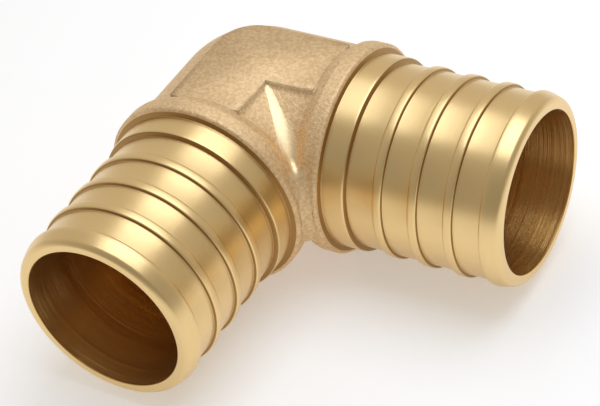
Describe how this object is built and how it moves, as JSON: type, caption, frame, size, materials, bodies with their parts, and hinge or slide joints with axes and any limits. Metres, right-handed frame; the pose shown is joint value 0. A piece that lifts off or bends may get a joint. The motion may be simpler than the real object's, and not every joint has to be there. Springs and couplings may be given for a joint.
{
  "type": "pipe elbow fitting",
  "caption": "Ninety degree brass crimp elbow for plastic water pipe, with a forged body, two collars and ribbed spigots bored through.",
  "frame": {"origin": "where the axes of the two bores cross, in the middle of the bend", "axes": "+X out of one mouth, -Y out of the other, +Z square to the plane of the bend"},
  "size_m": [0.0469, 0.0469, 0.0242],
  "materials": {
    "brass": "forged matte body, turned satin spigots"
  },
  "bodies": {
    "root": {"elbow_fitting": "brass"}
  },
  "joints": []
}
